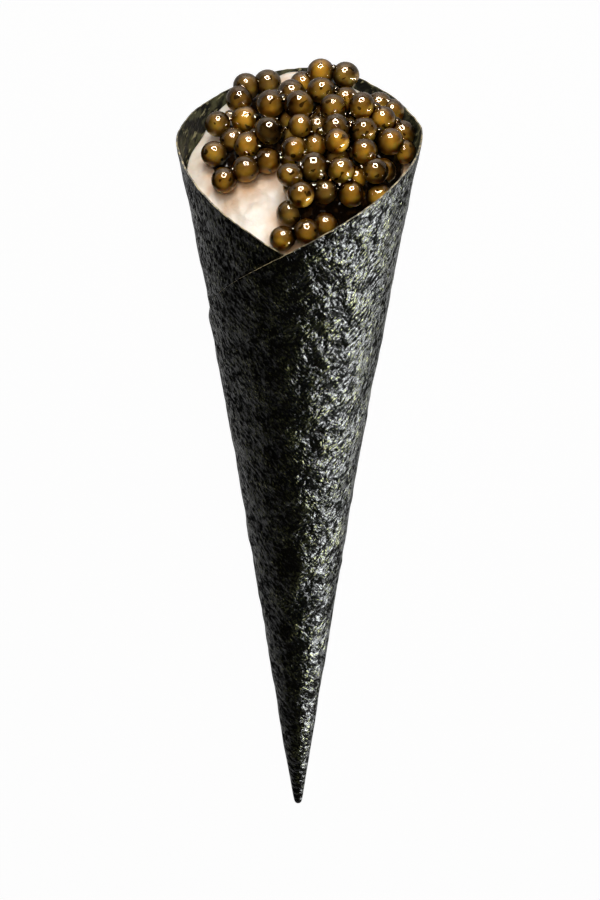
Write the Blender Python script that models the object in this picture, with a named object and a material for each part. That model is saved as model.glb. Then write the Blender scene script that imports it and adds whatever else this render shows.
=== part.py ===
"""Temaki hand roll: a slim cone of toasted seaweed, filled with cream and topped with a heap of caviar.

The roll lies on its back with its front seam up. +Y runs along the table from the tip to the mouth,
+X is to the right, +Z is up, and the origin is on the table, under the middle of the roll.

The seaweed is a quarter sheet. Two straight sides meet at a right angle at the tip, and the edge
opposite the tip is a round cut. Rolled up, the sheet goes about one and a half times round the cone.
Three numbers tell a place on the roll:
    reach  the distance from the tip, along the sheet
    turn   the angle round the cone, 0 at its front and growing towards +X
    lift   the height above the cone's base surface
The mouth has its own level, a tilted plane from the front of the rim to its back. A place there is
told by its distance across (+X), down (towards the table) and out (away from the tip).
"""

import math

import bmesh
import bpy
from mathutils import Vector

# The cone.
HALF_ANGLE = math.radians(8.81)
BASE_LIFT = -0.00011  # the base surface meets the axis a little in front of the tip
WAIST = 0.0005  # how far the sides draw in halfway along
FLARE = 0.0004  # how far the mouth spreads again, all round but for its back
FULL_REACH = 0.100

# The sheet.
SHEET = 0.00025
LAYER_GAP = 0.0001
CORNER = math.radians(90)
EDGE_RADIUS = 0.0459
EDGE_CENTRE = 0.0544  # from the tip to the centre of the round cut
PEAK_TURN = math.radians(172.4)  # where the cut edge is furthest from the tip
EDGE_WAVE = 0.00065  # a slight wave in the edge, strongest at the back
EDGE_WAVES = 3.3
SHEET_START = 0.0025  # nearer the tip, the layers are pressed into one

# The tip.
NOSE_RADIUS = 0.0005
NOSE_LIFT = 0.00036
NOSE_LENGTH = 0.004

# How it lies.
TIP_X = -0.00017
TIP_Y = -0.05119
FLAT_DEPTH = 0.0003  # how far the roll's own weight flattens it against the table

# The filling.
FILLING_GAP = 0.0003
CREAM_START = 0.0055
CREAM_CROWN = 0.0011
CREAM_FALL = 0.0019
CREAM_LUMP = 0.00025
CREAM_LUMP_LENGTH = 0.011
MOUTH_RADIUS = 0.0155

# The caviar: a bed one egg deep, and a mound of more eggs on it.
EGG = 0.0032
BED_MIDDLE = (0.0013, 0.0)
BED_HALF_SIZE = (0.0138, 0.0150)
BED_DEPTH = 0.0033
EYE = (0.0020, 0.0025)  # the point that the bed's outline is drawn round
MOUND_MIDDLE = (0.0040, -0.0002)
MOUND_HALF_SIZE = (0.0098, 0.0122)
MOUND_HEIGHT = 0.0034
EGG_BUMP = 0.0004
BAY_TURN = math.radians(235)  # the bay that leaves the cream in sight
BAY_HALF_WIDTH = math.radians(20)
BAY_DEPTH = 0.58
NOTCH_TURN = math.radians(103)  # a small gap in the eggs at the back of the rim
NOTCH_HALF_WIDTH = math.radians(9)
NOTCH_DEPTH = 0.16

SHEET_COLUMNS = 80
SHEET_ROWS = 10
CREAM_SIDES = 56
CREAM_ROWS = 10
CREAM_RINGS = 8
HEAP_SIDES = 84
HEAP_RINGS = 14
NOSE_SIDES = 24

TURN_SPAN = CORNER / math.sin(HALF_ANGLE)
OUTER_TURN = PEAK_TURN - TURN_SPAN / 2
INNER_TURN = PEAK_TURN + TURN_SPAN / 2
SEAM_TURN = PEAK_TURN - math.pi  # where the cut edge crosses itself, at the front

AXIS = Vector((0, math.cos(HALF_ANGLE), math.sin(HALF_ANGLE)))
FRONT = Vector((0, -math.sin(HALF_ANGLE), math.cos(HALF_ANGLE)))
RIGHT = Vector((1, 0, 0))


def layer_lift(turn):
    """How far the sheet's inner face has wound away from the base surface."""
    return (INNER_TURN - turn) / math.tau * (SHEET + LAYER_GAP)


BACK_LIFT = BASE_LIFT + layer_lift(math.pi) + SHEET
TIP = Vector((TIP_X, TIP_Y, BACK_LIFT * math.cos(HALF_ANGLE) - FLAT_DEPTH))


def edge_reach(turn):
    """The reach of the sheet's round cut: a circle seen from the tip, and its wave."""
    angle = (turn - PEAK_TURN) * math.sin(HALF_ANGLE)
    across = EDGE_CENTRE * math.sin(angle)
    circle = EDGE_CENTRE * math.cos(angle) + math.sqrt(EDGE_RADIUS**2 - across**2)
    wave = (1 - math.cos(turn)) / 2 * math.cos(EDGE_WAVES * (turn - PEAK_TURN))
    return circle + EDGE_WAVE * wave


def cone_point(reach, turn, lift):
    drawn_in = 1 - max(0.0, -math.cos(turn)) ** 2
    radius = BASE_LIFT + lift + reach * math.sin(HALF_ANGLE)
    radius -= WAIST * math.sin(math.pi * reach / FULL_REACH) * drawn_in
    spread = min(1.0, max(0.0, (math.cos(turn) + 0.45) / 0.4))
    radius += FLARE * (reach / FULL_REACH) ** 8 * spread**2 * (3 - 2 * spread)
    outward = FRONT * math.cos(turn) + RIGHT * math.sin(turn)
    return TIP + AXIS * (reach * math.cos(HALF_ANGLE)) + outward * radius


def resting(point, lowest):
    """The point, pressed up to the height at which the roll rests."""
    return Vector((point.x, point.y, max(point.z, lowest)))


def middle_of_rim(turn):
    point = cone_point(edge_reach(turn), turn, layer_lift(turn))
    return Vector((TIP_X, point.y, point.z))


RIM_FRONT = middle_of_rim(SEAM_TURN)
RIM_BACK = middle_of_rim(math.pi)
MOUTH = (RIM_FRONT + RIM_BACK) / 2
DOWN = (RIM_BACK - RIM_FRONT).normalized()
OUT = RIGHT.cross(DOWN)


def mouth_point(across, down, out):
    return MOUTH + RIGHT * across + DOWN * down + OUT * out


def cream_height(across, down):
    """The cream's surface over the mouth's level: a low dome with soft lumps."""
    fall = CREAM_FALL * (across**2 + down**2) / MOUTH_RADIUS**2
    wave = math.tau / CREAM_LUMP_LENGTH
    lumps = math.sin(across * wave + 1.0) * math.sin(down * wave + across * wave / 2)
    return CREAM_CROWN - fall + CREAM_LUMP * lumps


def cream_reach(turn):
    """How far up the wall the cream comes: where the wall passes through its surface."""
    low, high = CREAM_START, edge_reach(PEAK_TURN) + EGG
    for _ in range(30):
        middle = (low + high) / 2
        from_mouth = cone_point(middle, turn, -FILLING_GAP) - MOUTH
        surface = cream_height(from_mouth.x, from_mouth.dot(DOWN))
        if from_mouth.dot(OUT) < surface:
            low = middle
        else:
            high = middle
    return low


def in_oval(across, down, middle, half_size):
    """0 in the middle of an oval, 1 on its edge."""
    return math.hypot((across - middle[0]) / half_size[0], (down - middle[1]) / half_size[1])


def within_wall(across, down, out):
    from_tip = mouth_point(across, down, out) - TIP
    reach = from_tip.dot(AXIS) / math.cos(HALF_ANGLE)
    turn = math.atan2(from_tip.x, from_tip.dot(FRONT))
    wall = cone_point(reach, turn, -FILLING_GAP) - TIP
    return from_tip.length < wall.length


def bed_edge(angle, out):
    """How far the bed runs from its eye: out to its oval or to the wall, less the bay and the notch."""
    low, high = 0.0, 2 * BED_HALF_SIZE[1]
    for _ in range(20):
        middle = (low + high) / 2
        across = EYE[0] + middle * math.cos(angle)
        down = EYE[1] + middle * math.sin(angle)
        inside = in_oval(across, down, BED_MIDDLE, BED_HALF_SIZE) < 1
        if inside and within_wall(across, down, out):
            low = middle
        else:
            high = middle
    bay = ((angle - BAY_TURN) / BAY_HALF_WIDTH) ** 4
    notch = ((angle - NOTCH_TURN) / NOTCH_HALF_WIDTH) ** 2
    return low * (1 - BAY_DEPTH * math.exp(-bay) - NOTCH_DEPTH * math.exp(-notch))


def heap_point(share, angle, fullness):
    """A point of the heap: share is 0 to 1 from its eye to its edge, fullness 0 to 1 from foot to top."""
    edge = bed_edge(angle, fullness * BED_DEPTH)
    across = EYE[0] + edge * share * math.cos(angle)
    down = EYE[1] + edge * share * math.sin(angle)
    dome = 1 - in_oval(across, down, MOUND_MIDDLE, MOUND_HALF_SIZE) ** 2
    wave = math.tau / EGG
    eggs = math.cos(across * wave) * math.cos(down * wave * math.sqrt(3) / 2)
    depth = BED_DEPTH + MOUND_HEIGHT * math.sqrt(max(0.0, dome)) + EGG_BUMP * eggs
    foot = cream_height(across, down) + FILLING_GAP
    return mouth_point(across, down, foot + fullness * depth)


def material(name, colour, roughness):
    made = bpy.data.materials.new(name)
    made.use_nodes = True
    shader = made.node_tree.nodes["Principled BSDF"]
    shader.inputs["Base Color"].default_value = (*colour, 1)
    shader.inputs["Roughness"].default_value = roughness
    shader.inputs["Metallic"].default_value = 0
    return made


def finished(name, mesh_source, finish, parent):
    """An object made of a bmesh, with its faces pointing out and its round parts smooth."""
    bmesh.ops.recalc_face_normals(mesh_source, faces=mesh_source.faces)
    mesh = bpy.data.meshes.new(name)
    mesh_source.to_mesh(mesh)
    mesh_source.free()
    mesh.shade_smooth()
    mesh.set_sharp_from_angle(angle=math.radians(40))
    mesh.materials.append(finish)
    made = bpy.data.objects.new(name, mesh)
    made.parent = parent
    bpy.context.scene.collection.objects.link(made)
    return made


def lofted(rings):
    """A closed skin over a stack of rings. The first and the last ring are each drawn in to one point."""
    skin = bmesh.new()
    loops = [[skin.verts.new(point) for point in ring] for ring in rings[1:-1]]
    first = skin.verts.new(rings[0][0])
    last = skin.verts.new(rings[-1][0])
    count = len(loops[0])
    for i in range(count):
        j = (i + 1) % count
        skin.faces.new((first, loops[0][j], loops[0][i]))
        skin.faces.new((last, loops[-1][i], loops[-1][j]))
        for below, above in zip(loops, loops[1:]):
            skin.faces.new((below[i], below[j], above[j], above[i]))
    return skin


def sheet_skin():
    """The flat sheet as a slab, then rolled: its columns become turns and its rows reaches."""
    slab = bmesh.new()
    bmesh.ops.create_grid(slab, x_segments=SHEET_COLUMNS, y_segments=SHEET_ROWS, size=1)
    grown = bmesh.ops.extrude_face_region(slab, geom=slab.faces[:])
    for vertex in grown["geom"]:
        if isinstance(vertex, bmesh.types.BMVert):
            vertex.co.z = SHEET
    for vertex in slab.verts:
        turn = OUTER_TURN + TURN_SPAN * (vertex.co.x + 1) / 2
        reach = SHEET_START + (edge_reach(turn) - SHEET_START) * (vertex.co.y + 1) / 2
        height = vertex.co.z
        rolled = cone_point(reach, turn, layer_lift(turn) + height)
        vertex.co = resting(rolled, SHEET - height)
    return slab


def nose_skin():
    """The tip, where the layers are pressed into a rounded point."""
    clear_of_table = 0.00002
    steps = [0.0, 0.04, 0.15, 0.4, 0.7, 1.0]
    reaches = [NOSE_RADIUS * step for step in steps] + [SHEET_START, NOSE_LENGTH, NOSE_LENGTH]
    rings = []
    for reach in reaches:
        straight = NOSE_LIFT - BASE_LIFT
        rounded = math.sqrt(max(0.0, 2 * NOSE_RADIUS * reach - reach**2))
        if reach < NOSE_RADIUS:
            straight = min(straight, rounded - BASE_LIFT - reach * math.sin(HALF_ANGLE))
        turns = [math.tau * i / NOSE_SIDES for i in range(NOSE_SIDES)]
        rings.append([resting(cone_point(reach, turn, straight), clear_of_table) for turn in turns])
    for ring in (rings[0], rings[-1]):
        middle = sum(ring, Vector()) / NOSE_SIDES
        ring[0] = middle
    return lofted(rings)


def cream_skin():
    turns = [math.tau * i / CREAM_SIDES for i in range(CREAM_SIDES)]
    tops = [cream_reach(turn) for turn in turns]
    lowest = SHEET + FILLING_GAP
    rings = []
    for row in range(CREAM_ROWS + 1):
        share = row / CREAM_ROWS
        reaches = [CREAM_START + (top - CREAM_START) * share for top in tops]
        walls = [cone_point(reach, turn, -FILLING_GAP) for reach, turn in zip(reaches, turns)]
        rings.append([resting(wall, lowest) for wall in walls])
    rim = rings[-1]
    for ring in range(1, CREAM_RINGS + 1):
        share = 1 - ring / CREAM_RINGS
        surface = []
        for wall in rim:
            across = (wall - MOUTH).x * share
            down = (wall - MOUTH).dot(DOWN) * share
            surface.append(mouth_point(across, down, cream_height(across, down)))
        rings.append(surface)
    foot = sum(rings[0], Vector()) / CREAM_SIDES
    return lofted([[foot], *rings])


def heap_skin():
    angles = [math.tau * i / HEAP_SIDES for i in range(HEAP_SIDES)]
    foot_shares = (0.0, 0.3, 0.6, 0.85, 0.93)
    side = ((0.985, 0.3), (1.0, 0.55), (0.975, 0.85))
    top_shares = [0.93 * (1 - i / HEAP_RINGS) for i in range(HEAP_RINGS + 1)]
    profile = [(share, 0.0) for share in foot_shares]
    profile += [*side, *((share, 1.0) for share in top_shares)]
    return lofted([[heap_point(s, angle, full) for angle in angles] for s, full in profile])


def main():
    for old in list(bpy.data.objects):
        bpy.data.objects.remove(old)
    roll = bpy.data.objects.new("roll", None)
    bpy.context.scene.collection.objects.link(roll)

    seaweed = material("seaweed", (0.016, 0.020, 0.012), 0.35)
    cream = material("cream", (0.87, 0.80, 0.73), 0.55)
    caviar = material("caviar", (0.17, 0.10, 0.025), 0.12)

    wrap = finished("nori_wrap", sheet_skin(), seaweed, roll)
    nose = finished("nose", nose_skin(), seaweed, roll)
    nose.hide_render = True
    nose.display_type = "WIRE"
    joined = wrap.modifiers.new("pressed tip", "BOOLEAN")
    joined.operation = "UNION"
    joined.object = nose

    finished("cream_filling", cream_skin(), cream, roll)
    finished("caviar_heap", heap_skin(), caviar, roll)


main()
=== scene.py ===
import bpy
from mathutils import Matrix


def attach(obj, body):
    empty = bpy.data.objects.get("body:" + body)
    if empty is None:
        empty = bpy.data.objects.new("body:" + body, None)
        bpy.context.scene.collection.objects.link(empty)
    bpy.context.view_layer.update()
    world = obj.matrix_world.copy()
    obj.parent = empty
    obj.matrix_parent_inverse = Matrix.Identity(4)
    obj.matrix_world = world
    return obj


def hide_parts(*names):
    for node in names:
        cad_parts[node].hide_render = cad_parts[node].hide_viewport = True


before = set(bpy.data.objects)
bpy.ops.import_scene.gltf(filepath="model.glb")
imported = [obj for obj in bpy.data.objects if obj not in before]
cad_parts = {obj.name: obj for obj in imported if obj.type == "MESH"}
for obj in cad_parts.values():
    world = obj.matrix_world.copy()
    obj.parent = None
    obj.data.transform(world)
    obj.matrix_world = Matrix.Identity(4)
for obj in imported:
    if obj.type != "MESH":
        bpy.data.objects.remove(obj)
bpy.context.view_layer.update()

# %% [markdown]
# ## The roll lies on its back
# A hand roll is a cone, and a cone can't stand on its tip. So it lies on a table with its front seam up. +Y
# runs along the table from the tip to the mouth, +X is to the right and +Z is up, in metres. The pieces made
# here take over their looks, and each one follows the same few formulas as the solids, so nothing has to be
# fitted by hand.

# %% Tools for the whole lesson
import math

import bmesh
import bpy
import numpy as np
from mathutils import Matrix, Vector, noise

MM = 0.001
for item in list(bpy.context.selected_objects):
    item.select_set(False)

# %% [markdown]
# ## The cone, as one formula
# A sheet rolled into a cone is best described by where a spot is on the sheet, not by x, y and z.
# `reach` is its distance from the tip, `turn` its angle round the cone (0 at the front, growing to the right)
# and `lift` its height above the cone's base surface. Numpy works on all spots at once.

# %% The cone
HALF_ANGLE = math.radians(8.81)
BASE_LIFT = -0.11 * MM
WAIST = 0.5 * MM
FLARE = 0.4 * MM
FULL_REACH = 100 * MM
SHEET = 0.25 * MM
LAYER_GAP = 0.1 * MM
EDGE_RADIUS = 45.9 * MM
EDGE_CENTRE = 54.4 * MM
PEAK_TURN = math.radians(172.4)
EDGE_WAVE = 0.65 * MM
EDGE_WAVES = 3.3
TURN_SPAN = math.radians(90) / math.sin(HALF_ANGLE)
OUTER_TURN = PEAK_TURN - TURN_SPAN / 2
INNER_TURN = PEAK_TURN + TURN_SPAN / 2
SEAM_TURN = PEAK_TURN - math.pi
TIP = np.array([-0.17, -51.19, 0.1133]) * MM
AXIS = np.array([0, math.cos(HALF_ANGLE), math.sin(HALF_ANGLE)])
FRONT = np.array([0, -math.sin(HALF_ANGLE), math.cos(HALF_ANGLE)])
RIGHT = np.array([1.0, 0, 0])


def layer_lift(turn):
    """How far the sheet's inner face has wound away from the base surface."""
    return (INNER_TURN - turn) / math.tau * (SHEET + LAYER_GAP)


def edge_reach(turn):
    """How far from the tip the sheet's round cut edge is."""
    angle = (turn - PEAK_TURN) * math.sin(HALF_ANGLE)
    circle = EDGE_CENTRE * np.cos(angle)
    circle = circle + np.sqrt(EDGE_RADIUS**2 - (EDGE_CENTRE * np.sin(angle)) ** 2)
    return circle + EDGE_WAVE * (1 - np.cos(turn)) / 2 * np.cos(EDGE_WAVES * (turn - PEAK_TURN))


def cone_point(reach, turn, lift):
    reach, turn, lift = np.broadcast_arrays(reach, turn, lift)
    drawn_in = 1 - np.maximum(0, -np.cos(turn)) ** 2
    spread = np.clip((np.cos(turn) + 0.45) / 0.4, 0, 1)
    radius = BASE_LIFT + lift + reach * math.sin(HALF_ANGLE)
    radius = radius - WAIST * np.sin(math.pi * reach / FULL_REACH) * drawn_in
    radius = radius + FLARE * (reach / FULL_REACH) ** 8 * spread**2 * (3 - 2 * spread)
    outward = np.cos(turn)[..., None] * FRONT + np.sin(turn)[..., None] * RIGHT
    return TIP + (reach * math.cos(HALF_ANGLE))[..., None] * AXIS + outward * radius[..., None]


def middle_of_rim(turn):
    point = cone_point(edge_reach(turn), turn, layer_lift(turn))
    return np.array([TIP[0], point[1], point[2]])


RIM_FRONT = middle_of_rim(SEAM_TURN)
RIM_BACK = middle_of_rim(math.pi)
MOUTH = (RIM_FRONT + RIM_BACK) / 2
DOWN = (RIM_BACK - RIM_FRONT) / np.linalg.norm(RIM_BACK - RIM_FRONT)
OUT = np.cross(RIGHT, DOWN)


def mouth_point(across, down, out):
    """A place told by the mouth's own directions: across to the right, down to its back, out of the roll."""
    across, down, out = np.broadcast_arrays(across, down, out)
    return MOUTH + across[..., None] * RIGHT + down[..., None] * DOWN + out[..., None] * OUT


print("mouth in mm:", np.round(MOUTH / MM, 2), "sheet turns:", round(math.degrees(TURN_SPAN)), "degrees")

# %% [markdown]
# ## Camera
# The roll is seen from above and a little from the mouth's side, with its tip towards the viewer, through a long
# lens. The view's three directions are built as a matrix, which is plainer than three turns of a camera.

# %% The camera
VIEW_HEIGHT = math.radians(73.8)
VIEW_DISTANCE = 600 * MM
to_camera = np.array([0, math.cos(VIEW_HEIGHT), math.sin(VIEW_HEIGHT)])
camera_up = np.array([0, math.sin(VIEW_HEIGHT), -math.cos(VIEW_HEIGHT)])
looked_at = TIP + AXIS * 50 * MM + RIGHT * 0.26 * MM + camera_up * 2.36 * MM
bpy.ops.object.camera_add()
camera = bpy.context.object
camera.name = "camera"
camera.data.lens = 183.9
camera.data.sensor_width = 36
camera.data.clip_start = 0.05
camera.data.clip_end = 20
turned = Matrix((Vector(RIGHT), Vector(camera_up), Vector(to_camera))).transposed().to_4x4()
camera.matrix_world = Matrix.Translation(Vector(looked_at + to_camera * VIEW_DISTANCE)) @ turned
bpy.context.scene.camera = camera
print("camera at", [round(value, 3) for value in camera.location], "lens", camera.data.lens)

# %% [markdown]
# ## Helpers for finishes
# A finish is a little graph of nodes. Wrapping a node's output in a class with + - * / lets the sums in it be
# written as sums, and one `add` method makes every other kind of node.

# %% Helpers for finishes
class Signal:
    """One output of a node. Arithmetic on it adds Math nodes."""

    def __init__(self, finish, socket):
        self.finish = finish
        self.socket = socket

    def worked(self, operation, *values):
        return self.finish.add("ShaderNodeMath", {"operation": operation}, dict(enumerate(values)))

    def __add__(self, other):
        return self.worked("ADD", self, other)

    def __sub__(self, other):
        return self.worked("SUBTRACT", self, other)

    def __rsub__(self, other):
        return self.worked("SUBTRACT", other, self)

    def __mul__(self, other):
        return self.worked("MULTIPLY", self, other)

    def __truediv__(self, other):
        return self.worked("DIVIDE", self, other)

    def __pow__(self, other):
        return self.worked("POWER", self, other)

    def clipped(self, low, high):
        """0 at low, 1 at high, and held between them outside that range."""
        settings = {"clamp": True, "interpolation_type": "SMOOTHSTEP"}
        return self.finish.add("ShaderNodeMapRange", settings, {"Value": self, "From Min": low, "From Max": high})

    __radd__ = __add__
    __rmul__ = __mul__


class Finish:
    """A new material and the nodes that make it."""

    def __init__(self, name, **constants):
        self.material = bpy.data.materials.new(name)
        self.material.use_nodes = True
        self.nodes = self.material.node_tree.nodes
        self.links = self.material.node_tree.links
        self.surface = self.nodes["Principled BSDF"]
        for socket, value in constants.items():
            self.feed(self.surface, socket.replace("_", " "), value)

    def feed(self, node, socket, value):
        if isinstance(value, Signal):
            self.links.new(value.socket, node.inputs[socket])
        elif isinstance(value, tuple) and len(value) == 3 and node.inputs[socket].type == "RGBA":
            node.inputs[socket].default_value = (*value, 1)
        else:
            node.inputs[socket].default_value = value

    def add(self, kind, settings, inputs, output=0):
        made = self.nodes.new(kind)
        for name, value in settings.items():
            if name == "stops":
                ramp = made.color_ramp.elements
                while len(ramp) < len(value):
                    ramp.new(0.5)
                for stop, (place, colour) in zip(ramp, value):
                    stop.position = place
                    stop.color = (*colour, 1)
            else:
                setattr(made, name, value)
        for socket, value in inputs.items():
            self.feed(made, socket, value)
        return Signal(self, made.outputs[output])

    def mixed(self, amount, first, second):
        """The first colour where amount is 0 and the second where it is 1."""
        return self.add("ShaderNodeMix", {"data_type": "RGBA"}, {0: amount, 6: first, 7: second}, 2)

    def bumped(self, height, distance, strength=1.0):
        """A Bump node. The height is 0 to 1 and the distance is how deep that is, in metres."""
        inputs = {"Height": height, "Distance": distance, "Strength": strength}
        self.feed(self.surface, "Normal", self.add("ShaderNodeBump", {}, inputs))


def kept(name, finish, slot_name, *replaced):
    """Names the active object, gives it its finish and ties it to the frame."""
    piece = bpy.context.object
    piece.name = name
    piece.data.name = name
    if finish is not None:
        piece.data.materials.clear()
        piece.data.materials.append(finish.material)
    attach(piece, "root")
    if replaced:
        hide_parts(*replaced)
    print(name, len(piece.data.vertices), "points")
    return piece


def flat_positions(mesh):
    places = np.empty(len(mesh.vertices) * 3)
    mesh.vertices.foreach_get("co", places)
    return places.reshape(-1, 3)


def moved(mesh, places):
    mesh.vertices.foreach_set("co", np.ascontiguousarray(places).ravel())
    mesh.update()


def rough(points, size, octaves=1, seed=0.0):
    """Smooth random heights, about -1 to 1, with bumps of the given size. It is the same on every run."""
    shift = Vector((seed * 17.3, seed * 7.1, seed * 3.7))
    return np.array([noise.fractal(Vector(point) / size + shift, 1.0, 2.0, octaves) for point in points])


# %% [markdown]
# ## The seaweed sheet
# Nori is a thin, crisp sheet of pressed and toasted seaweed, cut here as a quarter round: two straight sides that
# meet at the tip, and a round edge. A cone could be made with a cone primitive, but it would have no seam, no
# inner layer and no cut edge. So the sheet is a flat grid that is rolled up by the cone formula, as the real one
# is. Its crinkles are real relief, pressed in before it gets its thickness.

# %% The flat sheet
SHEET_COLUMNS = 320
SHEET_ROWS = 140
SHEET_START = 0.9 * MM
RAGGED = 0.09 * MM
bpy.ops.mesh.primitive_grid_add(x_subdivisions=SHEET_COLUMNS, y_subdivisions=SHEET_ROWS, size=2)
sheet = bpy.context.object
flat = flat_positions(sheet.data)
turns = OUTER_TURN + TURN_SPAN * (flat[:, 0] + 1) / 2
shares = (flat[:, 1] + 1) / 2
outer_edge = edge_reach(turns)
laid = np.stack([turns * math.sin(HALF_ANGLE) * outer_edge, outer_edge * 0, outer_edge * 0], 1)
outer_edge = outer_edge + RAGGED * rough(laid, 0.9 * MM, 3)
reaches = SHEET_START + (outer_edge - SHEET_START) * shares**0.8
fan = turns * math.sin(HALF_ANGLE)
pattern = np.stack([reaches * np.sin(fan), reaches * np.cos(fan), reaches * 0], 1)
print("sheet", len(flat), "points, reach up to", round(reaches.max() / MM, 1), "mm")

# %% [markdown]
# Each spot of the flat sheet also gets a UV place, in metres on the flat sheet. The finish reads that map, so its
# fibres run across the sheet as they were pressed and turn with it round the cone. At the tip the fingers that
# rolled the sheet pressed its layers together, so there they lie closer.

# %% Rolling it up
CRINKLE = 0.05 * MM
DENT = 0.17 * MM
TIP_LIFT = 0.58 * MM
fade = np.clip((reaches - 4 * MM) / (20 * MM), 0.15, 1)
crinkles = rough(pattern, 1.6 * MM, 2, 1)
dents = rough(pattern, 4.2 * MM, 2, 2)
relief = CRINKLE * crinkles * fade + DENT * dents * fade
under_table = cone_point(reaches, turns, layer_lift(turns) + SHEET)[:, 2] < 0.6 * MM
relief[under_table] *= 0.2
loose = np.clip(reaches / (9 * MM), 0.1, 1)
lifts = TIP_LIFT + (layer_lift(turns) + SHEET - TIP_LIFT) * loose
rolled = cone_point(reaches, turns, lifts + relief)
rolled[:, 2] = np.maximum(rolled[:, 2], 0)
moved(sheet.data, rolled)
to_straight = np.minimum(turns - OUTER_TURN, INNER_TURN - turns) * math.sin(HALF_ANGLE) * reaches
to_cut = np.minimum(to_straight, outer_edge - reaches)
cut = sheet.data.attributes.new("cut", "FLOAT", "POINT")
cut.data.foreach_set("value", np.clip(1 - to_cut / (0.5 * MM), 0, 1).astype(np.float32))
corners = np.empty(len(sheet.data.loops), dtype=int)
sheet.data.loops.foreach_get("vertex_index", corners)
sheet.data.uv_layers[0].data.foreach_set("uv", pattern[corners][:, :2].ravel())
sheet.data.uv_layers[0].name = "laid_flat"
print("relief in mm:", round(relief.min() / MM, 2), "to", round(relief.max() / MM, 2))

# %% [markdown]
# A Solidify modifier gives the sheet its thickness, inwards, and its rim faces take a second material, because
# the cut edge shows the pale inside of the seaweed. The pressed tip is a small spun point, joined to the sheet.

# %% Thickness and tip
seaweed = Finish("seaweed")
cut_edge = Finish("seaweed_cut_edge", Roughness=0.6)
sheet.data.materials.append(seaweed.material)
sheet.data.materials.append(cut_edge.material)
seaweed_inside = Finish("seaweed_inside", Roughness=0.5, Specular_IOR_Level=0.15)
sheet.data.materials.append(seaweed_inside.material)
bpy.ops.object.mode_set(mode="EDIT")
bpy.ops.mesh.select_all(action="SELECT")
bpy.ops.mesh.normals_make_consistent(inside=False)
bpy.ops.object.mode_set(mode="OBJECT")
middle_face = sheet.data.polygons[len(sheet.data.polygons) // 2]
outwards = middle_face.normal.dot(middle_face.center - Vector(TIP) - Vector(AXIS) * 0.05) > 0
thick = sheet.modifiers.new("thickness", "SOLIDIFY")
thick.thickness = SHEET * 0.8
thick.offset = -1 if outwards else 1
thick.use_even_offset = False
thick.use_rim = True
thick.material_offset_rim = 1
thick.material_offset = 2
bpy.ops.object.modifier_apply(modifier=thick.name)

NOSE_RADIUS = 0.5 * MM
bpy.ops.object.select_all(action="DESELECT")
bpy.ops.mesh.primitive_uv_sphere_add(segments=48, ring_count=24, radius=1)
nose = bpy.context.object
ball = flat_positions(nose.data)
nose_turn = np.arctan2(ball[:, 0], ball[:, 1])
nose_share = np.arccos(np.clip(ball[:, 2], -1, 1)) / math.pi
nose_reach = np.minimum(nose_share**2 * 7, 4) * MM
rounded = np.sqrt(np.maximum(0, 2 * NOSE_RADIUS * nose_reach - nose_reach**2))
rounded = np.where(nose_reach < NOSE_RADIUS, rounded, 9.0)
nose_wall = BASE_LIFT + TIP_LIFT + nose_reach * math.sin(HALF_ANGLE)
nose_radius = np.where(nose_share > 0.99, 0.0, np.minimum(rounded, nose_wall))
nose_points = cone_point(nose_reach, nose_turn, nose_radius - BASE_LIFT - nose_reach * math.sin(HALF_ANGLE))
nose_points[:, 2] = np.maximum(nose_points[:, 2], 0)
moved(nose.data, nose_points)
nose.data.materials.append(seaweed.material)
nose.data.uv_layers[0].name = "laid_flat"
nose_corners = np.empty(len(nose.data.loops), dtype=int)
nose.data.loops.foreach_get("vertex_index", nose_corners)
nose_flat = np.stack([nose_turn * 0.4 * MM, nose_reach], 1)[nose_corners]
nose.data.uv_layers[0].data.foreach_set("uv", nose_flat.ravel())
sheet.select_set(True)
bpy.context.view_layer.objects.active = sheet
bpy.ops.object.join()
bpy.ops.object.shade_smooth_by_angle(angle=math.radians(50))
nori = kept("nori_sheet", None, "seaweed", "nori_wrap")
print("nori triangles:", sum(len(face.vertices) - 2 for face in nori.data.polygons))

# %% [markdown]
# Toasted nori is nearly black: a glossy film of seaweed with matt fibres pressed into it, and a few small flecks
# of green. The fibres lean to the left in one half of the sheet and to the right in the other. A noise that is
# stretched and turned on the laid-flat map gives such grains, with their width and length in millimetres.
# The film and the fibres are two shaders, and a Mix Shader lays one between the other. The flecks are metallic,
# because then they shine with the film and stay dark where the film is dark. The same noises make the bump.

# %% The seaweed's finish
def stretched(finish, place, angle, width, length, detail=2.0, roughness=0.6):
    """Noise of grains that lean to the left by an angle from the sheet's y axis. Width and length are in mm."""
    settings = {"vector_type": "TEXTURE"}
    inputs = {"Vector": place, "Rotation": (0, 0, math.radians(angle)), "Scale": (width * MM, length * MM, 1)}
    turned_place = finish.add("ShaderNodeMapping", settings, inputs)
    inputs = {"Vector": turned_place, "Scale": 1.0, "Detail": detail, "Roughness": roughness}
    return finish.add("ShaderNodeTexNoise", {}, inputs)


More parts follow.
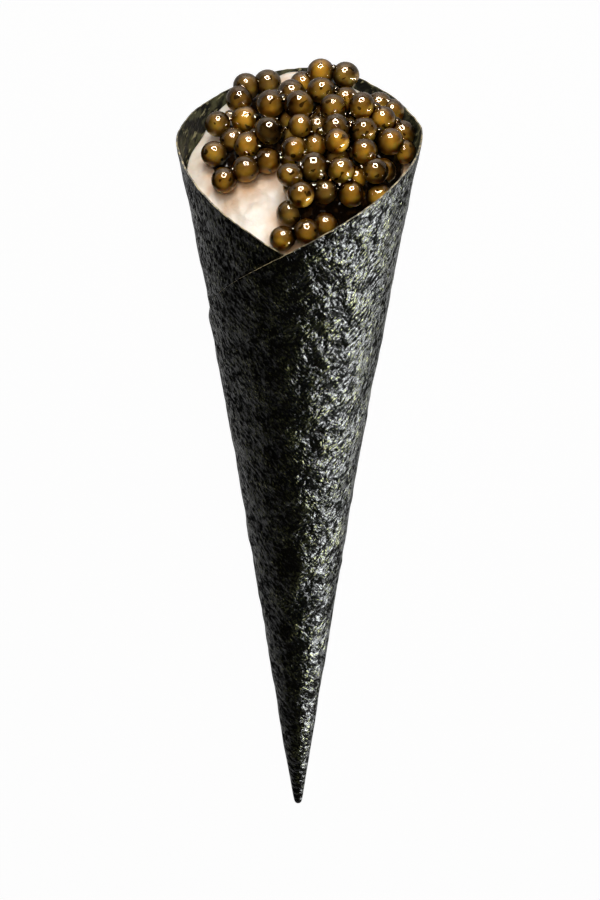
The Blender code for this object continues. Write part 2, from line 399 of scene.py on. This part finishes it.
sheet_place = seaweed.add("ShaderNodeUVMap", {"uv_map": "laid_flat"}, {})
sheet_x = seaweed.add("ShaderNodeSeparateXYZ", {}, {"Vector": sheet_place})
patches = stretched(seaweed, sheet_place, 0, 3.8, 4.8)
swell = stretched(seaweed, sheet_place, -20, 2.4, 3.2)
crinkle = stretched(seaweed, sheet_place, 10, 0.95, 1.4, 4.0)
leaning_left = stretched(seaweed, sheet_place, 40, 0.36, 1.0, 3.0)
leaning_right = stretched(seaweed, sheet_place, -44, 0.36, 1.0, 3.0)
specks_left = stretched(seaweed, sheet_place, 34, 0.22, 0.6)
specks_right = stretched(seaweed, sheet_place, -50, 0.22, 0.8)
which_way = (sheet_x * 30 + patches - 0.08).clipped(0.42, 0.58)
either = seaweed.add("ShaderNodeMix", {}, {0: which_way, 2: leaning_left, 3: leaning_right})
specks = seaweed.add("ShaderNodeMix", {}, {0: which_way, 2: specks_left, 3: specks_right})
fibre = either.clipped(0.50, 0.68)
strewn_specks = specks * 0.8 + patches * 0.2 + swell * 0.3
fleck = strewn_specks.clipped(0.69, 0.77)
pale_speck = strewn_specks.clipped(0.79, 0.83)
skin = seaweed.mixed(fibre * 0.6, (0.0010, 0.0010, 0.0011), (0.0024, 0.0023, 0.0015))
skin = seaweed.mixed(fleck, skin, (0.058, 0.061, 0.028))
skin = seaweed.mixed(pale_speck, skin, (0.10, 0.092, 0.045))
edge_line = seaweed.add("ShaderNodeAttribute", {"attribute_name": "cut"}, {}, 2)
edge_line = (edge_line + crinkle * 0.5 - 0.25).clipped(0.88, 1.02)
skin = seaweed.mixed(edge_line, skin, (0.16, 0.12, 0.055))
seaweed.feed(seaweed.surface, "Base Color", skin)
seaweed.feed(seaweed.surface, "Metallic", fleck * 0.96 - pale_speck * 0.6)
seaweed.feed(seaweed.surface, "Roughness", 0.05 + patches * 0.10 + fibre * 0.13)
seaweed.bumped(either * patches * 0.8 + crinkle * 0.75 + swell * 1.8, 0.40 * MM, 1.0)
dull_fibres = (either * 0.7 + crinkle * 0.35 - fleck * 0.3 - patches * 0.2).clipped(0.37, 0.46) * 0.96
dull = seaweed.add("ShaderNodeBsdfPrincipled", {}, {"Base Color": (0.0015, 0.0014, 0.0010), "Specular IOR Level": 0.0})
glossy = Signal(seaweed, seaweed.surface.outputs[0])
toasted = seaweed.add("ShaderNodeMixShader", {}, {0: dull_fibres, 1: glossy, 2: dull})
seaweed.feed(seaweed.nodes["Material Output"], "Surface", toasted)

inside_place = seaweed_inside.add("ShaderNodeUVMap", {"uv_map": "laid_flat"}, {})
inside_fibres = stretched(seaweed_inside, inside_place, 30, 0.6, 1.7, 3.0)
inside_clouds = stretched(seaweed_inside, inside_place, 0, 2.0, 2.5)
inside_skin = seaweed_inside.mixed(inside_clouds.clipped(0.45, 0.60), (0.003, 0.0033, 0.002), (0.070, 0.070, 0.034))
inside_skin = seaweed_inside.mixed(inside_fibres.clipped(0.56, 0.68), inside_skin, (0.30, 0.28, 0.15))
seaweed_inside.feed(seaweed_inside.surface, "Base Color", inside_skin)
seaweed_inside.bumped(inside_fibres + inside_clouds, 0.3 * MM, 0.8)

edge_place = cut_edge.add("ShaderNodeTexCoord", {}, {}, 3)
edge_grain = cut_edge.add("ShaderNodeTexNoise", {}, {"Vector": edge_place, "Scale": 1400.0, "Detail": 3.0})
edge_colour = cut_edge.mixed(edge_grain.clipped(0.42, 0.62), (0.035, 0.03, 0.014), (0.36, 0.29, 0.15))
cut_edge.feed(cut_edge.surface, "Base Color", edge_colour)
print("seaweed nodes:", len(seaweed.nodes))

# %% [markdown]
# ## The cream
# The filling is soft cream up to the level that shows at the mouth. A UV sphere is already a stack of rings closed
# by a pole at each end, so each of its rings is moved to one ring of the filling: the first half go up along the
# seaweed, and the second half go in over the top. The top is a low dome with lumps left by a spoon.

# %% The cream's surface
FILLING_GAP = 0.3 * MM
CREAM_START = 5.5 * MM
CREAM_CROWN = 1.1 * MM
CREAM_FALL = 1.9 * MM
CREAM_LUMP = 0.25 * MM
CREAM_LUMP_LENGTH = 11 * MM
MOUTH_RADIUS = 15.5 * MM
EGG = 3.2 * MM


def hollow(across, down):
    """The cream sinks a little at the back left, and comes up to the edge at the very back."""
    sunk = np.exp(-(((across + 12.5 * MM) / (5 * MM)) ** 2) - ((down - 6 * MM) / (6.5 * MM)) ** 2)
    raised = np.exp(-(((across + 0.5 * MM) / (2.2 * MM)) ** 2) - ((down - 14 * MM) / (2 * MM)) ** 2)
    return -1.7 * MM * sunk + 1.2 * MM * raised


def cream_height(across, down):
    """The cream's surface over the mouth's level."""
    fall = CREAM_FALL * (across**2 + down**2) / MOUTH_RADIUS**2
    wave = math.tau / CREAM_LUMP_LENGTH
    lumps = np.sin(across * wave + 1.0) * np.sin(down * wave + across * wave / 2)
    return CREAM_CROWN - fall + CREAM_LUMP * lumps + hollow(across, down)


def spooned(across, down):
    """Small lumps and folds on top of the plain surface."""
    spots = np.stack([across, down, across * 0], 1)
    soft = rough(spots, 3.4 * MM, 2, 5)
    folds = 1 - np.abs(rough(spots * np.array([1.0, 0.55, 1]), 2.4 * MM, 2, 6)) * 2
    return 0.40 * MM * soft + 0.17 * MM * folds


def cream_reach(turn, lift):
    """How far up the wall the cream comes, found by halving."""
    low = np.full_like(turn, CREAM_START)
    high = np.full_like(turn, edge_reach(PEAK_TURN) + EGG)
    for _ in range(30):
        half = (low + high) / 2
        from_mouth = cone_point(half, turn, lift) - MOUTH
        under = from_mouth @ OUT < cream_height(from_mouth[:, 0], from_mouth @ DOWN)
        low = np.where(under, half, low)
        high = np.where(under, high, half)
    return low


CREAM_SIDES = 192
CREAM_RINGS = 120
WALL_SHARE = 0.35
bpy.ops.object.select_all(action="DESELECT")
bpy.ops.mesh.primitive_uv_sphere_add(segments=CREAM_SIDES, ring_count=CREAM_RINGS, radius=1)
filling = bpy.context.object
ball = flat_positions(filling.data)
ring = 1 - np.arccos(np.clip(ball[:, 2], -1, 1)) / math.pi
cream_turn = np.arctan2(ball[:, 0], ball[:, 1])
inner_lift = np.full_like(cream_turn, -0.02 * MM)
top_reach = cream_reach(cream_turn, inner_lift)
up_wall = np.clip(ring / WALL_SHARE, 0, 1)
wall = cone_point(CREAM_START + (top_reach - CREAM_START) * up_wall, cream_turn, inner_lift)
wall[:, 2] = np.maximum(wall[:, 2], SHEET * 0.9)
rim = cone_point(top_reach, cream_turn, inner_lift) - MOUTH
inward = 1 - np.clip((ring - WALL_SHARE) / (1 - WALL_SHARE), 0, 1)
across, down = rim[:, 0] * inward, (rim @ DOWN) * inward
height = cream_height(across, down) + spooned(across, down) * np.clip((1 - inward) * 6, 0, 1)
top = mouth_point(across, down, height)
filled = np.where((ring > WALL_SHARE)[:, None], top, wall)
foot = cone_point(np.full_like(cream_turn, CREAM_START), cream_turn, -CREAM_START * math.sin(HALF_ANGLE) - BASE_LIFT)
filled = np.where((ring < 0.001)[:, None], foot, filled)
moved(filling.data, filled)
bpy.ops.object.shade_smooth()
cream = Finish("cream", Roughness=0.55, Subsurface_Weight=0.45, Subsurface_Scale=0.0012)
cream.surface.inputs["Subsurface Radius"].default_value = (1.0, 0.62, 0.42)
filling = kept("cream", cream, "cream", "cream_filling")

# %% [markdown]
# ## The caviar
# The heap is a bed of eggs one deep on the cream, with a mound of more eggs on it. It leaves a bay of bare cream
# at the front left. The eggs that show the heap's outline are listed, and the rest are dropped one by
# one: of many free spots inside the outline, an egg takes the lowest. A fixed seed gives the same heap every time.

# %% The heap's outline
BED_MIDDLE = np.array([1.3, 0.0]) * MM
BED_HALF_SIZE = np.array([13.8, 15.0]) * MM
BED_DEPTH = 3.3 * MM
EYE = np.array([2.0, 2.5]) * MM
MOUND_MIDDLE = np.array([4.0, -0.2]) * MM
MOUND_HALF_SIZE = np.array([9.8, 12.2]) * MM
MOUND_HEIGHT = 3.4 * MM
BAY_TURN, BAY_HALF_WIDTH, BAY_DEPTH = math.radians(235), math.radians(20), 0.58
NOTCH_TURN, NOTCH_HALF_WIDTH, NOTCH_DEPTH = math.radians(103), math.radians(9), 0.16
DIP_MIDDLE = np.array([5.2, -10.5]) * MM
DIP_HALF_SIZE = np.array([3.8, 1.7]) * MM


def in_oval(spots, centre, half_size):
    """0 in the middle of an oval, 1 on its edge."""
    return np.hypot(*((spots - centre) / half_size).T)


def over_bed(spots, radius):
    """Whether eggs of that radius, seen from above the mouth, lie inside the bed's outline."""
    from_eye = spots - EYE
    distance = np.hypot(*from_eye.T)
    angle = np.arctan2(from_eye[:, 1], from_eye[:, 0]) % math.tau
    bay = BAY_DEPTH * np.exp(-(((angle - BAY_TURN) / BAY_HALF_WIDTH) ** 4))
    notch = NOTCH_DEPTH * np.exp(-(((angle - NOTCH_TURN) / NOTCH_HALF_WIDTH) ** 2))
    share = (distance + radius) / distance / (1 - bay - notch)
    return in_oval(EYE + from_eye * share[:, None], BED_MIDDLE, BED_HALF_SIZE) < 1.01


def wall_room(points, radius):
    """How much free room eggs have to the seaweed's wall."""
    from_tip = points - TIP
    along = from_tip @ AXIS
    turn = np.arctan2(from_tip[:, 0], from_tip @ FRONT)
    from_axis = np.linalg.norm(from_tip - along[:, None] * AXIS, axis=1)
    wall_there = cone_point(along / math.cos(HALF_ANGLE), turn, 0.0) - TIP
    wall_radius = np.linalg.norm(wall_there - (wall_there @ AXIS)[:, None] * AXIS, axis=1)
    return wall_radius - from_axis - radius


# %% Eggs listed
EGGS_BY_THE_CREAM = (
    (-10.6, -0.5, 1.7), (-9.3, -5.0, 1.7), (-6.6, -3.4, 2.1), (-3.9, -2.3, 2.4), (-0.5, -2.6, 2.6), (-0.2, -6.6, 2.2),
    (-1.0, -10.4, 1.6), (-1.9, -14.0, 0.8), (1.1, -13.5, 1.5), (3.5, -12.0, 1.1),
)
EGGS_OVER_THE_STEP = ((3.3, -8.5, 3.4), (6.7, -8.6, 3.1))
EGGS_ON_THE_SKYLINE = (
    (-10.2, 4.8, 1.6), (-7.5, 8.9, 1.8), (-6.6, 11.3, 1.7), (-3.9, 11.9, 1.6), (0.6, 10.9, 2.5), (2.9, 11.5, 4.1),
    (6.1, 11.0, 4.1), (10.3, 7.4, 2.4), (12.0, 6.5, 2.0), (13.2, 3.1, 1.6), (13.3, 0.4, 1.2),
)
rng = np.random.default_rng(3)
centres = np.array(EGGS_BY_THE_CREAM + EGGS_OVER_THE_STEP + EGGS_ON_THE_SKYLINE) * MM
radii = rng.uniform(1.64, 1.82, len(centres)) * MM
print(len(centres), "eggs placed by hand, room to the wall", round(wall_room(mouth_point(*centres.T), radii).min() / MM, 2))


# %% Eggs dropped into the heap
def resting_heights(spots, radius):
    """The lowest height at which an egg fits at each spot, on the cream and on the eggs that are already down."""
    lowest = cream_height(spots[:, 0], spots[:, 1]) + radius - 0.15 * MM
    apart = np.hypot(*(spots[:, None] - centres[None, :, :2]).transpose(2, 0, 1))
    touching = (radius + radii) * 0.93
    on_egg = centres[:, 2] + np.sqrt(np.maximum(0, touching**2 - apart**2))
    return np.maximum(lowest, np.where(apart < touching, on_egg, -1).max(axis=1))


def heap_top(spots):
    dome = np.maximum(0, 1 - in_oval(spots, MOUND_MIDDLE, MOUND_HALF_SIZE) ** 2)
    return cream_height(spots[:, 0], spots[:, 1]) + BED_DEPTH + MOUND_HEIGHT * np.sqrt(dome) + 0.35 * MM


missed = 0
while missed < 24:
    smallest, headroom = (1.62, 0.9) if missed < 12 else (1.32, -0.2)
    radius = rng.uniform(smallest, smallest + 0.26) * MM
    spots = BED_MIDDLE + rng.uniform(-1, 1, (500, 2)) * BED_HALF_SIZE
    heights = resting_heights(spots, radius)
    tried = np.column_stack([spots, heights])
    free = over_bed(spots, radius) & (heights + radius < heap_top(spots) + headroom * MM)
    free &= wall_room(mouth_point(*tried.T), radius) > 0.05 * MM
    free &= in_oval(spots, DIP_MIDDLE, DIP_HALF_SIZE) > 1
    if not free.any():
        missed += 1
        continue
    lowest = np.argmin(np.where(free, heights, 1.0))
    centres = np.vstack([centres, tried[lowest]])
    radii = np.append(radii, radius)
print(len(centres), "eggs, highest", round(centres[:, 2].max() / MM, 1), "mm over the mouth")

# %% [markdown]
# An egg of caviar is a golden-brown yolk in a clear, wet skin. The yolk's colour holds painted light: a painted glow on
# the side turned away from the key light, where light would shine through, and painted shade that darkens its sides.
# Every egg is a copy of one sphere with its own squash and turn, and its own tone. All yolks are joined into one piece
# and all skins into another, because they are two finishes. A skin could be glass, but glass needs many bounces of
# light. A clear shader and a glossy one, mixed by Fresnel, look the same at this size.

# %% Copies of one ball
KEY_LIGHT = Vector((0.0, 0.894, 0.447))
# The way each yolk's painted glow faces: down and to the front, away from the key light.
PAINTED_GLOW_WAY = Vector((0.08, -0.46, 0.88))


def strewn(name, ball_centres, ball_radii, segments, rings, squash=0.045, seed=5):
    """One ball copied to every centre. Each copy keeps its own tone, and a painted glow at each of its spots, brighter
    on the side turned one way.
    """
    bpy.ops.object.select_all(action="DESELECT")
    bpy.ops.mesh.primitive_uv_sphere_add(segments=segments, ring_count=rings, radius=1)
    pattern_ball = bpy.context.object
    shaken = np.random.default_rng(seed)
    ball = flat_positions(pattern_ball.data)
    copies = []
    for centre, radius in zip(ball_centres, ball_radii):
        copy = pattern_ball.copy()
        copy.data = pattern_ball.data.copy()
        bpy.context.collection.objects.link(copy)
        shape = Matrix.Diagonal((*shaken.uniform(1 - squash, 1 + squash, 3), 1))
        turn = Matrix.Rotation(shaken.uniform(0, math.tau), 4, Vector(shaken.normal(size=3)).normalized())
        copy.data.transform(Matrix.Translation(Vector(centre)) @ turn @ shape @ Matrix.Scale(radius, 4))
        painted_glow_way = (PAINTED_GLOW_WAY + Vector(shaken.normal(size=3)) * 0.22).normalized()
        painted_glow_facing = ball @ np.array(turn.to_3x3()).T @ np.array(painted_glow_way)
        values = {"tone": np.full(len(ball), shaken.random()), "glow": painted_glow_facing * 0.5 + 0.5}
        for attribute, value in values.items():
            kept_value = copy.data.attributes.new(attribute, "FLOAT", "POINT")
            kept_value.data.foreach_set("value", value.astype(np.float32))
        copies.append(copy)
    bpy.data.objects.remove(pattern_ball)
    for copy in copies:
        copy.select_set(True)
    bpy.context.view_layer.objects.active = copies[0]
    bpy.ops.object.join()
    bpy.ops.object.shade_smooth()
    return bpy.context.object


# %% Yolks
egg_places = mouth_point(*centres.T)
yolks = strewn("egg_yolks", egg_places, radii * 0.955, 24, 14)
yolk = Finish("egg_yolk", Roughness=0.5, Specular_IOR_Level=0.0, Subsurface_Weight=1.0, Subsurface_Scale=0.0011)
yolk.surface.inputs["Subsurface Radius"].default_value = (1.0, 0.7, 0.25)
yolk_place = yolk.add("ShaderNodeTexCoord", {}, {}, 3)
tone = yolk.add("ShaderNodeAttribute", {"attribute_name": "tone"}, {}, 2)
glow = yolk.add("ShaderNodeAttribute", {"attribute_name": "glow"}, {}, 2)
mottle = yolk.add("ShaderNodeTexNoise", {}, {"Vector": yolk_place, "Scale": 480.0, "Detail": 2.0})
spots = yolk.add("ShaderNodeTexNoise", {}, {"Vector": yolk_place, "Scale": 1250.0, "Detail": 0.0})
# Painted light: the yolk's sides take a painted shade of dark brown, its middle a half-lit olive and its far side a
# painted glow of gold. Noise mottles it.
painted_glow_mottled = glow + (mottle - 0.5) * 0.42
painted_shade_brown = yolk.mixed(tone, (0.066, 0.027, 0.004), (0.046, 0.024, 0.006))
painted_half_glow_olive = yolk.mixed(tone, (0.42, 0.243, 0.044), (0.250, 0.164, 0.058))
painted_glow_gold = yolk.mixed(tone, (0.86, 0.58, 0.090), (0.58, 0.42, 0.11))
yolk_colour_with_painted_light = yolk.mixed(painted_glow_mottled.clipped(0.40, 0.76), painted_shade_brown, painted_half_glow_olive)
yolk_colour_with_painted_light = yolk.mixed(painted_glow_mottled.clipped(0.74, 1.0), yolk_colour_with_painted_light, painted_glow_gold)
yolk_colour_with_painted_light = yolk.mixed(spots.clipped(0.71, 0.74) * 0.8, yolk_colour_with_painted_light, (0.020, 0.010, 0.004))
yolk.feed(yolk.surface, "Base Color", yolk_colour_with_painted_light)
yolks = kept("egg_yolks", yolk, "caviar", "caviar_heap")

# %% Skins
skins = strewn("egg_skins", egg_places, radii, 24, 14)
egg_skin = Finish("egg_skin", Roughness=0.03, Metallic=1.0, Base_Color=(0.95, 0.85, 0.70))
clear = egg_skin.add("ShaderNodeBsdfTransparent", {}, {"Color": (0.93, 0.88, 0.78)})
gloss = egg_skin.add("ShaderNodeFresnel", {}, {"IOR": 1.62})
skin_place = egg_skin.add("ShaderNodeTexCoord", {}, {}, 3)
egg_skin.bumped(egg_skin.add("ShaderNodeTexNoise", {}, {"Vector": skin_place, "Scale": 700.0, "Detail": 1.0}), 0.12 * MM)
coated = egg_skin.add("ShaderNodeMixShader", {}, {0: gloss, 1: clear, 2: Signal(egg_skin, egg_skin.surface.outputs[0])})
egg_skin.feed(egg_skin.nodes["Material Output"], "Surface", coated)
skins = kept("egg_skins", egg_skin, "caviar")

# %% [markdown]
# Between the eggs there is a dark, wet liquid. Its near-black colour is partly the brine's own and partly painted shade
# that keeps the gaps between the eggs dark. It is a skin draped over the heap near the middles of the eggs, so it
# closes the gaps, and it sinks down to the cream beside the last eggs. Where two eggs touch, a small clear bead of
# liquid stands up and catches the light.

# %% The liquid between the eggs
LIQUID_SIDES, LIQUID_RINGS = 192, 96
LIQUID_RISE = 3.0 * MM
bpy.ops.object.select_all(action="DESELECT")
bpy.ops.mesh.primitive_uv_sphere_add(segments=LIQUID_SIDES, ring_count=LIQUID_RINGS, radius=1)
liquid = bpy.context.object
ball = flat_positions(liquid.data)
angle = np.arctan2(ball[:, 1], ball[:, 0]) % math.tau
layer = np.arccos(np.clip(ball[:, 2], -1, 1)) / math.pi


def liquid_top(spots):
    """A sheet draped over the eggs from below: under an egg it is near the egg's middle, and beside it, lower."""
    foot = cream_height(spots[:, 0], spots[:, 1]) + 0.02 * MM
    apart = np.hypot(*(spots[:, None] - centres[None, :, :2]).transpose(2, 0, 1)) / radii
    rise = np.clip(centres[:, 2] - 0.8 * MM - foot[:, None], 0, LIQUID_RISE)
    return foot + (rise * np.clip(1 - (apart / 1.5) ** 4, 0, 1)).max(axis=1)


steps = np.arange(0.5, 18, 0.1) * MM
outline = []
for way in np.arange(LIQUID_SIDES) * math.tau / LIQUID_SIDES:
    spots = EYE + steps[:, None] * np.array([math.cos(way), math.sin(way)])
    outline.append(steps[over_bed(spots, 1.7 * MM)].max())
side = np.rint(angle / math.tau * LIQUID_SIDES).astype(int) % LIQUID_SIDES
over = layer < 0.5
share = np.where(over, layer * 2, (1 - layer) * 2)
spread = np.array(outline)[side] * share
spots = EYE + spread[:, None] * np.column_stack([np.cos(angle), np.sin(angle)])
base = cream_height(spots[:, 0], spots[:, 1]) - 0.1 * MM
edge_fade = np.clip((1 - share) * 8, 0, 1)
height = np.where(over, base + (liquid_top(spots) - base) * edge_fade, base - 0.5 * MM * edge_fade)
moved(liquid.data, mouth_point(spots[:, 0], spots[:, 1], height))
settled = liquid.modifiers.new("settled", "SMOOTH")
settled.iterations = 4
bpy.ops.object.modifier_apply(modifier=settled.name)
bpy.ops.object.mode_set(mode="EDIT")
bpy.ops.mesh.select_all(action="SELECT")
bpy.ops.mesh.normals_make_consistent(inside=False)
bpy.ops.object.mode_set(mode="OBJECT")
bpy.ops.object.shade_smooth()
brine_with_painted_shade = Finish("brine_with_painted_shade", Roughness=0.12, Specular_IOR_Level=0.22)
brine_place = brine_with_painted_shade.add("ShaderNodeTexCoord", {}, {}, 3)
ripple = brine_with_painted_shade.add("ShaderNodeTexNoise", {}, {"Vector": brine_place, "Scale": 900.0, "Detail": 1.0})
# Near-black brine: partly its own colour, partly painted shade for the gaps between the eggs.
brine_with_painted_shade.feed(brine_with_painted_shade.surface, "Base Color", brine_with_painted_shade.mixed(ripple.clipped(0.5, 0.7), (0.004, 0.002, 0.001), (0.02, 0.009, 0.003)))
brine_with_painted_shade.bumped(ripple, 0.25 * MM, 0.5)
liquid = kept("caviar_liquid_with_painted_shade", brine_with_painted_shade, "caviar", "caviar_heap")

# %% Beads where eggs touch
first, second = np.triu_indices(len(centres), 1)
between = centres[second] - centres[first]
apart = np.linalg.norm(between, axis=1)
close = apart < (radii[first] + radii[second]) * 1.04
first, second, between, apart = first[close], second[close], between[close], apart[close]
middle = centres[first] + between * (radii[first] / (radii[first] + radii[second]))[:, None]
along = between / apart[:, None]
upward = np.array([0, 0.25, 1.0]) - along * (along @ np.array([0, 0.25, 1.0]))[:, None]
steep = np.linalg.norm(upward, axis=1)
bead_radii = rng.uniform(0.40, 0.70, len(middle)) * MM
lift = np.sqrt(2 * 1.6 * MM * bead_radii * 0.45)
beads_at = middle + upward / np.maximum(steep, 0.01)[:, None] * lift[:, None]
sound = steep > 0.35
print("beads:", int(sound.sum()))
beads = strewn("liquid_beads", mouth_point(*beads_at[sound].T), bead_radii[sound], 10, 6, 0.2, 8)
beads = kept("liquid_beads", egg_skin, "caviar")

# %% [markdown]
# The cream's finish comes last, because the eggs colour it: near an egg it takes some of their brown, partly as a stain
# and partly as painted shade, and a little in front of it as a painted shadow. How near each point of the cream is to
# an egg, or to the spot a little in front of it, is kept as an attribute, which the finish reads.

# %% The cream's finish
cream_spots = flat_positions(filling.data)
stain_and_shadow_distance = np.full(len(cream_spots), 1.0)
for centre, radius in zip(egg_places, radii):
    beside = np.linalg.norm(cream_spots - centre, axis=1) - radius
    # Painted shadow: the brown also reaches a little in front of each egg, where its shade would fall.
    painted_shadow_in_front = np.linalg.norm(cream_spots - centre + DOWN * 2.0 * MM, axis=1) - radius + 0.4 * MM
    stain_and_shadow_distance = np.minimum(stain_and_shadow_distance, np.minimum(beside, painted_shadow_in_front))
stain = filling.data.attributes.new("stain", "FLOAT", "POINT")
stain.data.foreach_set("value", np.clip(1 - stain_and_shadow_distance / (2.4 * MM), 0, 1).astype(np.float32))
cream_place = cream.add("ShaderNodeTexCoord", {}, {}, 3)
painted_shadow_and_stain = cream.add("ShaderNodeAttribute", {"attribute_name": "stain"}, {}, 2)
cloud = cream.add("ShaderNodeTexNoise", {}, {"Vector": cream_place, "Scale": 260.0, "Detail": 3.0})
grain = cream.add("ShaderNodeTexNoise", {}, {"Vector": cream_place, "Scale": 1600.0, "Detail": 3.0})
white = cream.mixed(cloud.clipped(0.3, 0.7), (0.78, 0.71, 0.630), (0.66, 0.55, 0.43))
# Brown from the eggs: partly a real stain and partly painted shade near each egg, and painted shadow just in front of
# it.
white = cream.mixed((painted_shadow_and_stain * (0.5 + cloud * 0.9)).clipped(0.08, 1.05) * 0.9, white, (0.54, 0.31, 0.14))
cream.feed(cream.surface, "Base Color", white)
cream.bumped(cloud * 0.5 + grain * 0.35, 0.35 * MM, 0.7)

# %% [markdown]
# ## Light and floor
# Soft light and gloss come from different lamps here, as in a studio. A key light and an overhead light are soft
# and aren't mirrored by anything. A ring lamp behind the mouth is only mirrored, and gives each egg its round
# highlight. A tall softbox at the right makes a shining band on the seaweed, and a dim card on each side shows in
# its two edges. All else stays dark, or the front of the roll would turn grey. The floor is plain and pale, and
# bright enough that hardly a shadow shows on it.

# %% The floor
bpy.ops.object.select_all(action="DESELECT")
bpy.ops.mesh.primitive_plane_add(size=6, location=(0, 0, -0.02 * MM))
floor = bpy.context.object
floor.name = "floor"
pale = Finish("pale_floor", Base_Color=(0.2, 0.2, 0.2), Roughness=0.9, Emission_Color=(1.0, 1.0, 1.0), Emission_Strength=0.97)
floor.data.materials.append(pale.material)
floor.visible_glossy = False

# %% The ring light
LAMP_DISTANCE = 0.5
lit_from = Vector(MOUTH) + KEY_LIGHT * LAMP_DISTANCE
bpy.ops.object.select_all(action="DESELECT")
bpy.ops.mesh.primitive_circle_add(vertices=64, radius=0.19, fill_type="NGON")
ring_lamp = bpy.context.object
ring_lamp.name = "ring_lamp"
bpy.ops.object.mode_set(mode="EDIT")
bpy.ops.mesh.select_all(action="SELECT")
bpy.ops.mesh.inset(thickness=0.10)
bpy.ops.mesh.delete(type="FACE")
bpy.ops.object.mode_set(mode="OBJECT")
ring_lamp.location = lit_from
ring_lamp.rotation_euler = KEY_LIGHT.to_track_quat("Z", "Y").to_euler()
lamp_light = Finish("lamp_light", Base_Color=(0, 0, 0), Emission_Color=(1.0, 0.97, 0.93), Emission_Strength=34.0)
ring_lamp.data.materials.append(lamp_light.material)
ring_lamp.visible_camera = False
ring_lamp.visible_shadow = False
ring_lamp.visible_diffuse = False


# %% The soft lights
def softbox(name, towards, distance, width, height, power, colour=(1, 1, 1)):
    """A square studio light that looks at the roll from a direction."""
    way = Vector(towards).normalized()
    bpy.ops.object.light_add(type="AREA", location=Vector((0, 0, 0.01)) + way * distance)
    made = bpy.context.object
    made.name = name
    made.rotation_euler = way.to_track_quat("Z", "Y").to_euler()
    made.data.shape = "RECTANGLE"
    made.data.size = width
    made.data.size_y = height
    made.data.energy = power
    made.data.color = colour
    made.visible_camera = False
    return made


softbox("right_softbox", (0.85, -0.45, 0.30), 0.8, 0.28, 0.5, 20, (0.92, 0.95, 0.96))
key_softbox = softbox("key_softbox", KEY_LIGHT, 0.8, 0.3, 0.3, 4.0, (1.0, 0.98, 0.95))
key_softbox.visible_glossy = False
overhead = softbox("overhead_fill", (0.0, 0.45, 0.90), 0.8, 0.5, 0.4, 3.0, (1.0, 0.97, 0.93))
overhead.visible_glossy = False


def mirrored_card(name, middle_x, brightness):
    """A card that lies beside the roll and shows only where something mirrors it."""
    bpy.ops.object.select_all(action="DESELECT")
    bpy.ops.mesh.primitive_plane_add(size=1, location=(middle_x, 0, -0.01 * MM))
    card = bpy.context.object
    card.name = name
    glowing = Finish(name, Base_Color=(0, 0, 0), Emission_Color=(1.0, 1.0, 1.0), Emission_Strength=brightness)
    card.data.materials.append(glowing.material)
    card.visible_camera = False
    card.visible_diffuse = False


mirrored_card("right_card", 0.5, 0.44)
mirrored_card("left_card", -0.5, 0.40)
world = bpy.data.worlds.new("studio")
bpy.context.scene.world = world
world.use_nodes = True
world.node_tree.nodes["Background"].inputs["Color"].default_value = (0.93, 0.93, 0.93, 1)
world.cycles_visibility.diffuse = False
world.cycles_visibility.glossy = False
world.cycles_visibility.transmission = False
bpy.context.scene.cycles.transparent_max_bounces = 24
bpy.context.scene.view_settings.view_transform = "Standard"
bpy.context.scene.view_settings.look = "None"
